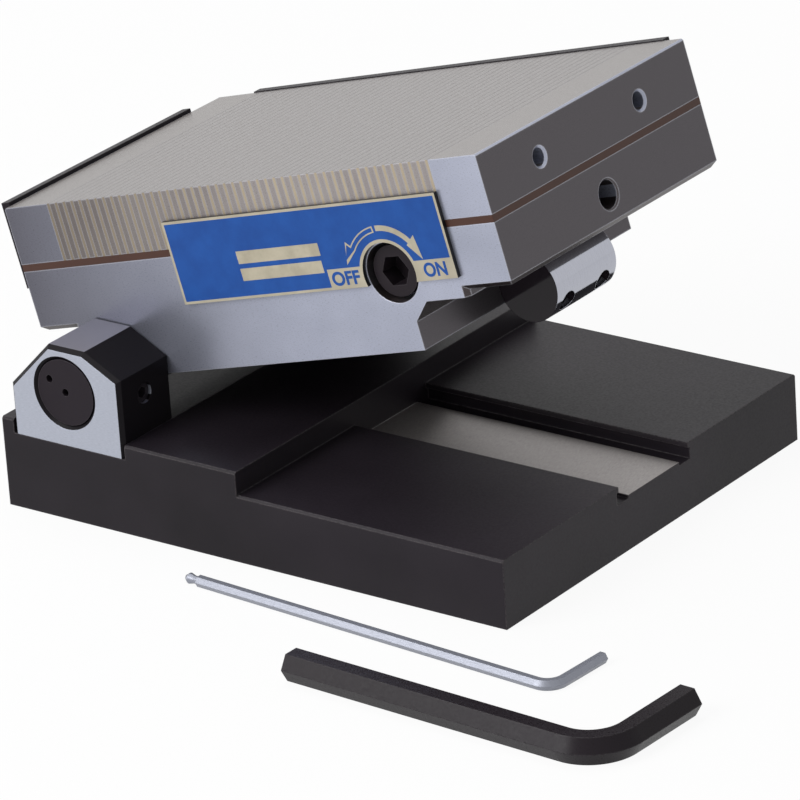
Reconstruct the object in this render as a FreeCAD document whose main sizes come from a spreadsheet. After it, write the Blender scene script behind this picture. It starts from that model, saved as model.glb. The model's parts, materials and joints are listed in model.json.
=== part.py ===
import FreeCAD, Part
import math
import os
import re
import Sketcher

# Tilting sine chuck with a permanent magnet work face, on a steel base plate.
#
# Frame: X along the base, hinge end at -X.  Y from the operator's side to the back.  Z up.
# The origin is the middle of the base's underside.  Pieces of the chuck are drawn in the
# chuck's own frame, whose origin is the hinge centre line at mid width, with X along the
# work face and Z square to it, and are set on the base by the tilt.

SIZES = {
    # base plate
    "base_length": 175.0,
    "base_width": 145.0,
    "base_chamfer": 0.6,
    "raised_height": 27.6,          # hinge end
    "raised_length": 84.0,
    "gauge_height": 20.6,           # lower end, each side of the channel
    "channel_height": 16.4,         # ground seat for the gauge blocks
    "channel_width": 34.4,
    "seat_width": 25.2,             # ground strip between the two relief grooves
    "relief_depth": 1.0,
    "undercut_width": 0.9,
    "undercut_height": 2.6,
    "lip_length": 4.2,              # lip at the hinge end of the cross slot
    "slot_height": 23.3,            # floor of the cross slot that seats the bearing blocks

    # bearing blocks
    "block_length": 40.2,
    "block_fit": 0.1,               # between block and slot walls
    "block_height": 30.1,
    "block_back_chamfer": 14.8,
    "block_nose_length": 12.5,
    "block_nose_drop": 6.5,
    "block_bevel": 1.2,
    "hinge_inset": 24.3,            # from the hinge end of the base
    "hinge_height": 39.6,
    "bore_chamfer": 1.1,
    "block_screw_pitch": 29.0,
    "block_well_diameter": 10.2,    # for the heads of the screws that hold the blocks
    "block_well_depth": 7.0,

    # hinge pin and sine roller
    "pin_diameter": 20.0,
    "pin_clearance": 0.03,
    "pin_recess": 0.5,
    "centre_hole_diameter": 2.3,
    "centre_hole_depth": 3.0,
    "end_hole_offset": 6.4,         # second hole in the pin's end
    "roller_diameter": 20.0,
    "roller_length": 28.5,
    "roller_offset": 1.5,           # its middle, behind the middle of the chuck
    "centre_distance": 125.0,
    "roller_screw_pitch": 17.0,
    "roller_well_diameter": 6.2,    # for the heads of the screws that hold the roller
    "roller_well_depth": 5.5,

    # lock screws and their pads
    "lock_screw_diameter": 6.0,
    "lock_screw_length": 6.8,
    "lock_screw_clearance": 0.05,
    "lock_pad_length": 2.4,
    "lock_gap": 0.05,
    "lock_socket_width": 3.1,
    "lock_socket_depth": 3.0,

    # chuck
    "tilt": 15.36,
    "chuck_length": 175.0,
    "chuck_width": 100.0,
    "side_gap": 0.5,                # chuck to each bearing block
    "hinge_to_end": 23.5,
    "hinge_to_case": 12.0,          # hinge centre line up to the case's underside
    "case_height": 18.3,
    "strip_thickness": 2.1,
    "top_thickness": 17.2,
    "chuck_chamfer": 0.5,
    "sine_block_depth": 15.8,       # how far the sine block hangs below the case
    "seat_relief": 0.3,             # pin and roller to the slanted corners of their seats
    "seat_run": 10.5,               # flat seat from the roller's centre outwards

    # magnetic pole pack
    "pole_pitch": 3.06,
    "pole_count": 46.0,
    "lamination_thickness": 2.1,

    # cavity, magnet carrier and rails
    "wall_thickness": 10.0,
    "case_floor": 12.7,
    "rail_width": 3.0,
    "slide_gap": 0.05,
    "air_gap": 0.35,
    "carrier_floor": 1.2,
    "carrier_side": 3.0,
    "carrier_end": 5.0,
    "magnet_count": 20.0,
    "magnet_thickness": 3.0,

    # switch drive
    "drive_inset": 40.0,            # from the far end of the chuck
    "drive_height": 7.1,            # above the case's underside
    "drive_bore": 17.6,
    "drive_bore_depth": 10.0,
    "drive_head_diameter": 15.0,
    "drive_head_recess": 1.5,
    "drive_shaft_diameter": 10.0,
    "drive_shaft_end": 20.0,        # past mid width
    "shaft_clearance": 0.03,
    "journal_diameter": 6.8,
    "journal_length": 10.0,
    "fork_clearance": 0.4,
    "fork_side_gap": 0.2,
    "fork_arm": 2.6,
    "fork_reach": 3.7,              # below the shaft's centre line
    "window_gap": 0.4,
    "window_depth": 5.2,            # below the shaft's centre line
    "drive_socket_width": 8.2,
    "drive_socket_depth": 6.0,

    # nameplate
    "label_rise": 4.2,
    "label_length": 100.0,
    "label_height": 24.5,
    "label_thickness": 1.3,
    "label_arch": 18.4,

    # tapped holes, stops and their screws
    "stop_thickness": 3.0,
    "stop_height": 26.0,
    "left_stop_rise": 1.0,          # above the work face
    "back_stop_rise": 0.3,
    "stop_lift": 7.0,               # how far each stop can still be raised
    "stop_gap": 0.1,
    "left_stop_length": 84.5,
    "left_stop_inset": 2.5,
    "back_stop_length": 153.7,
    "back_stop_inset": 14.2,
    "stop_hole_height": 28.0,
    "end_hole_pitch": 48.0,
    "back_hole_pitch": 96.0,
    "stop_screw_diameter": 5.0,
    "stop_screw_head": 9.5,         # wide enough to cover the slot
    "stop_screw_head_height": 4.5,
    "stop_screw_socket": 4.0,
    "stop_screw_socket_depth": 2.6,
    "thread_clearance": 0.05,
    "stop_slot_clearance": 0.25,
    "stop_hole_depth": 12.0,
    "back_hole_depth": 8.5,
    "stop_hole_mouth": 6.4,
    "side_hole_diameter": 8.1,
    "case_corner": 1.5,
    "side_hole_mouth": 9.2,
    "side_hole_depth": 12.0,
    "side_hole_height": 8.8,

    # hex keys
    "magnet_key_width": 8.0,
    "magnet_key_long": 104.0,
    "magnet_key_short": 38.0,
    "magnet_key_bend": 12.0,
    "magnet_key_x": 157.7,
    "magnet_key_y": -129.1,
    "magnet_key_turn": -2.5,
    "lock_key_width": 3.0,
    "lock_key_long": 130.0,
    "lock_key_short": 22.0,
    "lock_key_bend": 5.0,
    "lock_key_ball": 3.2,
    "lock_key_tip": 1.6,
    "lock_key_neck": 2.3,
    "lock_key_ball_start": 1.2,     # from the tip
    "lock_key_neck_start": 3.0,
    "lock_key_neck_end": 4.4,
    "lock_key_x": 120.5,
    "lock_key_y": -98.3,
    "lock_key_turn": -3.7,
}

# Places and sizes that follow from the ones above.
DERIVED = {
    "base_end": "base_length / 2",
    "base_side": "base_width / 2",
    "hinge_x": "hinge_inset - base_end",
    "step_x": "raised_length - base_end",
    "slot_start": "lip_length - base_end",
    "slot_end": "slot_start + block_length + 2 * block_fit",
    "block_start": "slot_start + block_fit - hinge_x",
    "block_end": "block_start + block_length",
    "block_floor": "slot_height - hinge_height",
    "block_top": "block_floor + block_height",
    "block_width": "base_side - chuck_side - side_gap",
    "block_middle": "base_side - block_width / 2",
    "bore_radius": "pin_diameter / 2 + pin_clearance",
    "pin_radius": "pin_diameter / 2",
    "roller_radius": "roller_diameter / 2",
    "chuck_side": "chuck_width / 2",
    "chuck_start": "-hinge_to_end",
    "chuck_end": "chuck_length - hinge_to_end",
    "chuck_middle": "chuck_length / 2 - hinge_to_end",
    "strip_floor": "hinge_to_case + case_height",
    "pole_floor": "strip_floor + strip_thickness",
    "work_height": "pole_floor + top_thickness",
    "pack_length": "pole_count * pole_pitch + brass_thickness",
    "brass_thickness": "pole_pitch - lamination_thickness",
    "end_block_length": "(chuck_length - pack_length) / 2",
    "pack_start": "chuck_start + end_block_length",
    "pack_end": "chuck_end - end_block_length",
    "cavity_side": "chuck_side - wall_thickness",
    "cavity_floor": "hinge_to_case + case_floor",
    "throw": "pole_pitch / 2",
    "carrier_base": "cavity_floor + slide_gap",
    "carrier_height": "pole_floor - air_gap - carrier_base",
    "carrier_half": "cavity_side - rail_width - slide_gap",
    "carrier_middle": "chuck_middle - throw",
    "plate_thickness": "2 * pole_pitch - magnet_thickness",
    "stack_length": "magnet_count * magnet_thickness + (magnet_count - 1) * plate_thickness",
    "carrier_length": "stack_length + 2 * carrier_end",
    "magnet_height": "carrier_height - carrier_floor",
    "magnet_half": "carrier_half - carrier_side",
    "drive_x": "chuck_end - drive_inset",
    "drive_z": "hinge_to_case + drive_height",
    "shaft_radius": "drive_shaft_diameter / 2",
    "head_start": "-chuck_side + drive_head_recess",
    "head_end": "-chuck_side + drive_bore_depth - slide_gap",
    "fork_inner": "journal_diameter / 2 + fork_clearance",
    "fork_outer": "fork_inner + fork_arm",
    "fork_half": "journal_length / 2 - fork_side_gap",
    "window_half": "fork_outer + throw + window_gap",
    "stop_hole_z": "hinge_to_case + stop_hole_height",
    "left_stop_top": "work_height + left_stop_rise",
    "back_stop_top": "work_height + back_stop_rise",
    "slot_low": "stop_hole_z - stop_lift - stop_slot_clearance",
    "slot_high": "stop_hole_z + left_stop_rise + stop_slot_clearance",
    "slot_radius": "stop_screw_diameter / 2 + stop_slot_clearance",
    "stop_seat": "2 * stop_gap + stop_thickness",
    "label_start": "pack_end - label_length",
    "label_floor": "hinge_to_case + label_rise",
    "label_top": "label_floor + label_height",
    "side_hole_z": "hinge_to_case + side_hole_height",
    "seat_corner": "(roller_radius + seat_relief) * sqrt(2) - roller_radius",
    "pin_seat_corner": "(pin_radius + seat_relief) * sqrt(2) - pin_radius",
    "lock_screw_start": "bore_radius + lock_pad_length + lock_gap",
}

WORD = re.compile(r"[a-z][a-z_]*")
TOUCHING = 1e-6        # mm, below which two places are the same
ALIKE = 1e-3           # mm, below which two widths are the same

doc = FreeCAD.newDocument("SineChuck")
sheet = doc.addObject("Spreadsheet::Sheet", "Sizes")
NODES = []


def fill_sheet():
    for row, (name, size) in enumerate(SIZES.items(), start=1):
        sheet.set("A%d" % row, name)
        sheet.set("B%d" % row, repr(size))
        sheet.setAlias("B%d" % row, name)
    doc.recompute()


def formula(text):
    """Turn a line such as 'base_length / 2' into an expression on the sheet's cells."""
    def swap(match):
        word = match.group()
        if word in DERIVED:
            return "(" + formula(DERIVED[word]) + ")"
        return "Sizes." + word if word in SIZES else word
    return WORD.sub(swap, str(text))


def value(text):
    return float(sheet.evalExpression(formula(text)))


def bind(item, prop, text):
    item.setExpression(prop, formula(text))


# ---- sketches -------------------------------------------------------------------------------

def new_body(name):
    body = doc.addObject("PartDesign::Body", name)
    body.Label = name
    NODES.append(body)
    return body


def sketch_on(body, plane, name, offset="0"):
    """A sketch on one of the body's origin planes, moved along the plane's normal."""
    sketch = body.newObject("Sketcher::SketchObject", name)
    support = [f for f in body.Origin.OriginFeatures if f.Role == plane][0]
    sketch.AttachmentSupport = [(support, "")]
    sketch.MapMode = "FlatFace"
    bind(sketch, "AttachmentOffset.Base.z", offset)
    return sketch


def pin_point(sketch, geometry, end, across, up):
    """Hold a point of the sketch at two formulas measured from the sketch's origin."""
    for kind, text in (("DistanceX", across), ("DistanceY", up)):
        place = sketch.addConstraint(
            Sketcher.Constraint(kind, -1, 1, geometry, end, value(text)))
        bind(sketch, "Constraints[%d]" % place, text)


def outline(sketch, corners):
    """A closed run of straight lines through the corners."""
    first = sketch.GeometryCount
    spots = [FreeCAD.Vector(value(a), value(b), 0) for a, b in corners]
    count = len(spots)
    for i, spot in enumerate(spots):
        sketch.addGeometry(Part.LineSegment(spot, spots[(i + 1) % count]))
    for i in range(count):
        sketch.addConstraint(Sketcher.Constraint(
            "Coincident", first + i, 2, first + (i + 1) % count, 1))
    for i, (across, up) in enumerate(corners):
        pin_point(sketch, first + i, 1, across, up)


def rectangle(sketch, left, low, right, high):
    outline(sketch, [(left, low), (right, low), (right, high), (left, high)])


def circle(sketch, across, up, diameter):
    centre = FreeCAD.Vector(value(across), value(up), 0)
    up_axis = FreeCAD.Vector(0, 0, 1)
    ring = sketch.addGeometry(Part.Circle(centre, up_axis, value(diameter) / 2))
    pin_point(sketch, ring, 3, across, up)
    place = sketch.addConstraint(Sketcher.Constraint("Diameter", ring, value(diameter)))
    bind(sketch, "Constraints[%d]" % place, diameter)


def hexagon(sketch, across, up, width):
    """Six sides, two of them level; width is the distance across flats."""
    half = "(%s) / 2" % width
    corner = "(%s) / sqrt(3)" % width
    steps = ((-1, -0.5), (1, -0.5), (1, 0), (1, 0.5), (-1, 0.5), (-1, 0))
    corners = []
    for side, level in steps:
        reach = corner if level == 0 else "%s / 2" % corner
        corners.append(("%s + (%d) * %s" % (across, side, reach),
                        "%s + (%g) * %s" % (up, 2 * level, half)))
    outline(sketch, corners)


def slot(sketch, across, low, high, radius):
    """An upright slot with round ends."""
    x, y_low, y_high, r = value(across), value(low), value(high), value(radius)
    up_axis = FreeCAD.Vector(0, 0, 1)
    top = sketch.addGeometry(Part.ArcOfCircle(
        Part.Circle(FreeCAD.Vector(x, y_high, 0), up_axis, r), 0, math.pi))
    foot = sketch.addGeometry(Part.ArcOfCircle(
        Part.Circle(FreeCAD.Vector(x, y_low, 0), up_axis, r), math.pi, 2 * math.pi))
    left = sketch.addGeometry(Part.LineSegment(
        FreeCAD.Vector(x - r, y_high, 0), FreeCAD.Vector(x - r, y_low, 0)))
    right = sketch.addGeometry(Part.LineSegment(
        FreeCAD.Vector(x + r, y_low, 0), FreeCAD.Vector(x + r, y_high, 0)))
    for line, line_end, arc, arc_end in (
            (left, 1, top, 2), (left, 2, foot, 1), (right, 1, foot, 2), (right, 2, top, 1)):
        sketch.addConstraint(Sketcher.Constraint("Tangent", line, line_end, arc, arc_end))
    pin_point(sketch, top, 3, across, high)
    pin_point(sketch, foot, 3, across, low)
    for arc in (top, foot):
        place = sketch.addConstraint(Sketcher.Constraint("Radius", arc, r))
        bind(sketch, "Constraints[%d]" % place, radius)


# ---- features -------------------------------------------------------------------------------

def pad(body, sketch, length, both=False, back=False):
    feature = body.newObject("PartDesign::Pad", sketch.Name + "Pad")
    feature.Profile = sketch
    feature.SideType = "Symmetric" if both else "One side"
    feature.Reversed = back
    bind(feature, "Length", length)
    return feature


def cut(body, sketch, length, both=False, back=False):
    """Remove the sketch's shape; the volume must fall, or the cut points the wrong way."""
    doc.recompute()
    before = body.Shape.Volume
    feature = body.newObject("PartDesign::Pocket", sketch.Name + "Cut")
    feature.Profile = sketch
    feature.SideType = "Symmetric" if both else "One side"
    feature.Reversed = back
    bind(feature, "Length", length)
    doc.recompute()
    if body.Shape.Volume > before - ALIKE:
        raise RuntimeError("%s removes nothing" % feature.Name)
    return feature


def row(body, features, axis, length, count, back=False):
    """Repeat features along an axis; length is from the first copy to the last."""
    feature = body.newObject("PartDesign::LinearPattern", features[0].Name + "Row")
    feature.Originals = features
    line = [f for f in body.Origin.OriginFeatures if f.Role == axis][0]
    feature.Direction = (line, [""])
    feature.Reversed = back
    bind(feature, "Length", length)
    bind(feature, "Occurrences", count)
    body.Tip = feature
    doc.recompute()
    return feature


def edges_where(shape, test):
    return ["Edge%d" % (i + 1) for i, edge in enumerate(shape.Edges) if test(edge)]


def chamfer(body, test, size):
    doc.recompute()
    base = body.Tip
    feature = body.newObject("PartDesign::Chamfer", body.Name + "Chamfer")
    feature.Base = (base, edges_where(base.Shape, test))
    bind(feature, "Size", size)
    doc.recompute()
    return feature


# ---- primitives -----------------------------------------------------------------------------

def primitive(kind, name, sizes, at=("0", "0", "0"), axis=(0, 0, 1), turn=0):
    item = doc.addObject("Part::" + kind, name)
    for prop, text in sizes.items():
        bind(item, prop, text)
    item.Placement = FreeCAD.Placement(
        FreeCAD.Vector(), FreeCAD.Rotation(FreeCAD.Vector(*axis), turn))
    for letter, text in zip("xyz", at):
        bind(item, "Placement.Base." + letter, text)
    return item


ROLLER_LEAN = -50      # slanted face of the case, from Z towards X

ALONG_X = {"axis": (0, 1, 0), "turn": 90}
ALONG_Y = {"axis": (1, 0, 0), "turn": -90}
ALONG_Z = {"axis": (0, 0, 1), "turn": 0}
TO_FRONT = {"axis": (1, 0, 0), "turn": 90}


def rod(name, radius, length, at, way):
    return primitive("Cylinder", name, {"Radius": radius, "Height": length}, at, **way)


def fuse(name, pieces):
    item = doc.addObject("Part::MultiFuse", name)
    item.Shapes = pieces
    return item


def subtract(name, base, tool):
    item = doc.addObject("Part::Cut", name)
    item.Base = base
    item.Tool = tool
    return item


def node(item, label):
    item.Label = label
    NODES.append(item)
    return item


def group(label, pieces):
    item = doc.addObject("Part::Compound", label)
    item.Links = pieces
    return node(item, label)


def on_chuck(item, out="0"):
    """Set a piece that is drawn in the chuck's frame; out moves that frame along itself."""
    item.Placement = FreeCAD.Placement(
        FreeCAD.Vector(), FreeCAD.Rotation(FreeCAD.Vector(0, -1, 0), value("tilt")))
    bind(item, "Placement.Base.x", "hinge_x + (%s) * cos(tilt)" % out)
    bind(item, "Placement.Base.z", "hinge_height + (%s) * sin(tilt)" % out)
    bind(item, "Placement.Rotation.Angle", "tilt")


def on_hinge(item):
    """Set a piece that is drawn about the hinge but stays with the base."""
    bind(item, "Placement.Base.x", "hinge_x")
    bind(item, "Placement.Base.z", "hinge_height")


def hex_socket(name, width, depth, at, way):
    socket = primitive("Prism", name,
                       {"Circumradius": "(%s) / sqrt(3)" % width, "Height": depth}, at, **way)
    socket.Polygon = 6
    return socket


# ---- base -----------------------------------------------------------------------------------

def make_base_plate():
    body = new_body("base_plate")
    side = sketch_on(body, "XZ_Plane", "BaseSide")
    outline(side, [
        ("-base_end", "0"), ("base_end", "0"), ("base_end", "gauge_height"),
        ("step_x", "gauge_height"), ("step_x", "raised_height"),
        ("slot_end", "raised_height"), ("slot_end", "slot_height"),
        ("slot_start", "slot_height"), ("slot_start", "raised_height"),
        ("-base_end", "raised_height")])
    pad(body, side, "base_width", both=True)
    doc.recompute()
    long_side = value("base_side")

    def upper_edge(edge):
        box = edge.BoundBox
        level = box.ZLength < TOUCHING
        top = box.ZMax > value("gauge_height") - TOUCHING
        seat = abs(box.ZMax - value("slot_height")) < TOUCHING
        rim = abs(abs(box.YMax) - long_side) < TOUCHING and box.YLength < TOUCHING
        return level and top and rim and not seat
    chamfer(body, upper_edge, "base_chamfer")

    channel = sketch_on(body, "YZ_Plane", "Channel", "step_x")
    half = "channel_width / 2"
    under = "(channel_width / 2 + undercut_width)"
    seat = "seat_width / 2"
    ledge = "channel_height + undercut_height"
    groove = "channel_height - relief_depth"
    right = [(half, "raised_height"), (half, ledge), (under, ledge), (under, groove),
             (seat, groove), (seat, "channel_height")]
    left = [("-" + across, up) for across, up in reversed(right)]
    outline(channel, right + left)
    cut(body, channel, "base_end - step_x", back=True)

    wells = sketch_on(body, "XY_Plane", "ScrewWells")
    for sign in ("-", ""):
        for end in ("-", ""):
            circle(wells, "hinge_x + (%sblock_screw_pitch / 2)" % end, sign + "block_middle",
                   "block_well_diameter")
    cut(body, wells, "block_well_depth", back=True)


def make_bearing_block(label, side):
    """One block; side is -1 for the operator's side and 1 for the back."""
    body = new_body(label)
    name = label.replace("_", "")
    inner = "chuck_side + side_gap"
    profile = sketch_on(body, "XZ_Plane", name + "Profile",
                        "(%d) * (%s)" % (-side, inner))
    outline(profile, [
        ("block_start", "block_floor"), ("block_end", "block_floor"),
        ("block_end", "block_top - block_nose_drop"),
        ("block_end - block_nose_length", "block_top"),
        ("block_start + block_back_chamfer", "block_top"),
        ("block_start", "block_top - block_back_chamfer")])
    pad(body, profile, "block_width", back=side > 0)
    doc.recompute()
    outer = value("base_side") * side

    def rim(edge):
        box = edge.BoundBox
        on_face = abs(box.YMin - outer) < TOUCHING and box.YLength < TOUCHING
        return on_face and box.ZMax > value("block_floor") + TOUCHING
    chamfer(body, rim, "block_bevel")

    bore = sketch_on(body, "XZ_Plane", name + "Bore", "(%d) * (%s)" % (-side, inner))
    circle(bore, "0", "0", "2 * bore_radius")
    cut(body, bore, "block_width", back=side < 0)

    def mouth(edge):
        box = edge.BoundBox
        round_edge = abs(box.XLength - 2 * value("bore_radius")) < ALIKE
        return round_edge and abs(box.YMin - outer) < TOUCHING
    chamfer(body, mouth, "bore_chamfer")

    lock = sketch_on(body, "YZ_Plane", name + "Lock", "block_end")
    circle(lock, "(%d) * block_middle" % side, "0",
           "lock_screw_diameter + 2 * lock_screw_clearance")
    cut(body, lock, "block_end - pin_radius / 2")
    on_hinge(body)


def make_locks():
    """The brass pads that press on the pin, and the set screws that drive them."""
    pads = []
    for row_name, side in (("Front", "-"), ("Rear", "")):
        start = "hinge_x + bore_radius / 2"
        slug = rod("Pad" + row_name, "lock_screw_diameter / 2",
                   "bore_radius / 2 + lock_pad_length",
                   (start, side + "block_middle", "hinge_height"), ALONG_X)
        hollow = rod("PadHollow" + row_name, "bore_radius", "chuck_width",
                     ("hinge_x", side + "block_middle - chuck_side", "hinge_height"), ALONG_Y)
        pads.append(subtract("LockPad" + row_name, slug, hollow))
    group("lock_pads", pads)

    for label, side in (("lock_screw_front", "-"), ("lock_screw_rear", "")):
        name = label.title().replace("_", "")
        stud = rod(name + "Stud", "lock_screw_diameter / 2", "lock_screw_length",
                   ("hinge_x + lock_screw_start", side + "block_middle", "hinge_height"),
                   ALONG_X)
        socket = hex_socket(
            name + "Socket", "lock_socket_width", "lock_socket_depth",
            ("hinge_x + lock_screw_start + lock_screw_length - lock_socket_depth",
             side + "block_middle", "hinge_height"), ALONG_X)
        node(subtract(name, stud, socket), label)


# ---- hinge pin and sine roller --------------------------------------------------------------

def make_hinge_pin():
    """The pin lies in its seat of the case; each end has a centre, the front one two holes."""
    length = "(base_width - 2 * pin_recess)"
    bar = rod("PinBar", "pin_radius", length, ("0", "-%s / 2" % length, "0"), ALONG_Y)
    holes = []
    for name, side, x, z, way in (
            ("FrontCentre", -1, "0", "0", ALONG_Y), ("RearCentre", 1, "0", "0", TO_FRONT),
            ("FrontSecond", -1, "-end_hole_offset / sqrt(2)", "end_hole_offset / sqrt(2)",
             ALONG_Y)):
        holes.append(rod("Pin" + name, "centre_hole_diameter / 2", "centre_hole_depth",
                         (x, "(%d) * %s / 2" % (side, length), z), way))
    on_chuck(node(subtract("HingePin", bar, fuse("PinHoles", holes)), "hinge_pin"))


def make_sine_roller():
    """A short roller with two wells, for the screws that hold it to the case's slanted face."""
    bar = rod("RollerBar", "roller_radius", "roller_length",
              ("0", "roller_offset - roller_length / 2", "0"), ALONG_Y)
    wells = [rod("RollerWell" + name, "roller_well_diameter / 2", "roller_well_depth",
                 ("0", "roller_offset %s roller_screw_pitch / 2" % end, "-roller_radius"),
                 ALONG_Z)
             for name, end in (("Front", "-"), ("Rear", "+"))]
    roller = node(subtract("SineRoller", bar, fuse("RollerWells", wells)), "sine_roller")
    on_chuck(roller, "centre_distance")
    bind(roller, "Placement.Rotation.Angle", "tilt - (%d)" % ROLLER_LEAN)


# ---- chuck: case, separator strip and top ---------------------------------------------------

def make_case_body():
    body = new_body("case_body")
    side = sketch_on(body, "XZ_Plane", "CaseSide")
    block_floor = "hinge_to_case - sine_block_depth"
    outline(side, [
        ("chuck_start", "hinge_to_case"), ("-seat_run", "hinge_to_case"),
        ("-seat_run", "pin_radius"), ("pin_seat_corner", "pin_radius"),
        ("pin_radius", "pin_seat_corner"), ("pin_radius", block_floor),
        ("centre_distance - roller_radius", block_floor),
        ("centre_distance - roller_radius", "seat_corner"),
        ("centre_distance - seat_corner", "roller_radius"),
        ("centre_distance + seat_run", "roller_radius"),
        ("centre_distance + seat_run", "hinge_to_case"),
        ("chuck_end", "hinge_to_case"), ("chuck_end", "strip_floor"),
        ("chuck_start", "strip_floor")])
    pad(body, side, "chuck_width", both=True)

    cavity = sketch_on(body, "XY_Plane", "CaseCavity", "strip_floor")
    rectangle(cavity, "pack_start", "-cavity_side", "pack_end", "cavity_side")
    cut(body, cavity, "case_height - case_floor")

    window = sketch_on(body, "XY_Plane", "ForkWindow", "cavity_floor")
    reach = "(journal_length / 2 + slide_gap)"
    rectangle(window, "drive_x - window_half", "-" + reach, "drive_x + window_half", reach)
    cut(body, window, "cavity_floor - drive_z + window_depth")

    front = sketch_on(body, "XZ_Plane", "DriveBore", "chuck_side")
    circle(front, "drive_x", "drive_z", "drive_bore")
    cut(body, front, "drive_bore_depth")
    shaft = sketch_on(body, "XZ_Plane", "ShaftBore", "chuck_side")
    circle(shaft, "drive_x", "drive_z", "drive_shaft_diameter + 2 * shaft_clearance")
    cut(body, shaft, "chuck_side + drive_shaft_end + slide_gap")

    side_hole = sketch_on(body, "YZ_Plane", "SideHole", "chuck_end")
    circle(side_hole, "0", "side_hole_z", "side_hole_diameter")
    cut(body, side_hole, "side_hole_depth")
    end = value("chuck_end")

    def mouth(edge):
        box = edge.BoundBox
        wide = abs(box.YLength - value("side_hole_diameter")) < ALIKE
        return wide and abs(box.XMin - end) < TOUCHING
    chamfer(body, mouth, "(side_hole_mouth - side_hole_diameter) / 2")

    low = value("hinge_to_case")
    outer = (value("chuck_start"), end)
    side = value("chuck_side")

    def lower_rim(edge):
        box = edge.BoundBox
        along_end = box.XLength < TOUCHING and any(abs(box.XMin - x) < TOUCHING for x in outer)
        along_side = box.YLength < TOUCHING and abs(abs(box.YMin) - side) < TOUCHING
        return abs(box.ZMax - low) < TOUCHING and (along_end or along_side)
    chamfer(body, lower_rim, "case_corner")
    on_chuck(body)


def make_separator_plate():
    body = new_body("separator_plate")
    frame = sketch_on(body, "XY_Plane", "StripFrame", "strip_floor")
    rectangle(frame, "chuck_start", "-chuck_side", "chuck_end", "chuck_side")
    rectangle(frame, "pack_start", "-cavity_side", "pack_end", "cavity_side")
    pad(body, frame, "strip_thickness")
    on_chuck(body)


def make_pole_row(label, thickness, start, count):
    """Upright plates across the chuck, one every pitch, tapped at the back for the stop."""
    body = new_body(label)
    plate = sketch_on(body, "YZ_Plane", label.replace("_", "") + "Plate", start)
    rectangle(plate, "-chuck_side", "pole_floor", "chuck_side", "work_height")
    first = pad(body, plate, thickness)
    row(body, [first], "X_Axis", "pole_pitch * (%s - 1)" % count, count)
    taps = sketch_on(body, "XZ_Plane", label.replace("_", "") + "Taps", "-chuck_side")
    for sign in ("-", "+"):
        circle(taps, "chuck_middle %s back_hole_pitch / 2" % sign, "stop_hole_z",
               "stop_screw_diameter + 2 * thread_clearance")
    cut(body, taps, "back_hole_depth", back=True)
    on_chuck(body)


def make_end_block(label, end):
    """Solid steel at one end of the pole pack; end is -1 at the hinge and 1 at the other."""
    body = new_body(label)
    name = label.replace("_", "")
    near = "chuck_start" if end < 0 else "pack_end"
    far = "pack_start" if end < 0 else "chuck_end"
    block = sketch_on(body, "XY_Plane", name + "Plan", "pole_floor")
    rectangle(block, near, "-chuck_side", far, "chuck_side")
    pad(body, block, "top_thickness")
    doc.recompute()
    outer = value("chuck_start" if end < 0 else "chuck_end")

    def top_edge(edge):
        box = edge.BoundBox
        top = box.ZLength < TOUCHING and abs(box.ZMax - value("work_height")) < TOUCHING
        return top and abs(box.XMin - outer) < TOUCHING and box.XLength < TOUCHING
    chamfer(body, top_edge, "chuck_chamfer")

    face = "chuck_start" if end < 0 else "chuck_end"
    holes = sketch_on(body, "YZ_Plane", name + "Holes", face)
    for sign in ("-", ""):
        circle(holes, sign + "end_hole_pitch / 2", "stop_hole_z",
               "stop_screw_diameter + 2 * thread_clearance")
    cut(body, holes, "stop_hole_depth", back=end < 0)

    def mouth(edge):
        box = edge.BoundBox
        size = value("stop_screw_diameter + 2 * thread_clearance")
        return abs(box.XMin - outer) < TOUCHING and abs(box.YLength - size) < ALIKE
    chamfer(body, mouth, "(stop_hole_mouth - stop_screw_diameter) / 2 - thread_clearance")
    on_chuck(body)


def make_nameplate():
    body = new_body("nameplate")
    plate = sketch_on(body, "XZ_Plane", "LabelOutline", "chuck_side")
    rectangle(plate, "label_start", "label_floor", "pack_end", "label_top")
    pad(body, plate, "label_thickness")
    arch = sketch_on(body, "XZ_Plane", "LabelArch", "chuck_side + label_thickness")
    circle(arch, "drive_x", "drive_z", "label_arch")
    cut(body, arch, "label_thickness")
    on_chuck(body)


# ---- magnets and their drive ----------------------------------------------------------------

def make_rail(label, side):
    rail = primitive(
        "Box", label,
        {"Length": "pack_length", "Width": "rail_width", "Height": "case_height - case_floor"},
        ("pack_start", "cavity_side - rail_width" if side > 0 else "-cavity_side",
         "cavity_floor"))
    on_chuck(group_of_one(rail, label))


def group_of_one(item, label):
    """Wrap a piece, so that its own place and the chuck's tilt stay apart."""
    item.Label = label + "_blank"
    return group(label, [item])


def make_carrier():
    body = new_body("magnet_carrier")
    plan = sketch_on(body, "XY_Plane", "CarrierPlan", "carrier_base")
    half = "(carrier_length / 2)"
    rectangle(plan, "carrier_middle - " + half, "-carrier_half",
              "carrier_middle + " + half, "carrier_half")
    pad(body, plan, "carrier_height")
    pit = sketch_on(body, "XY_Plane", "CarrierPit", "carrier_base + carrier_height")
    inner = "(stack_length / 2)"
    rectangle(pit, "carrier_middle - " + inner, "-magnet_half",
              "carrier_middle + " + inner, "magnet_half")
    cut(body, pit, "magnet_height")
    fork = sketch_on(body, "XY_Plane", "CarrierFork", "carrier_base")
    centre = "drive_x - throw"
    rectangle(fork, centre + " - fork_outer", "-fork_half",
              centre + " - fork_inner", "fork_half")
    rectangle(fork, centre + " + fork_inner", "-fork_half",
              centre + " + fork_outer", "fork_half")
    pad(body, fork, "carrier_base - drive_z + fork_reach", back=True)
    doc.recompute()
    on_chuck(body)


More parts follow.
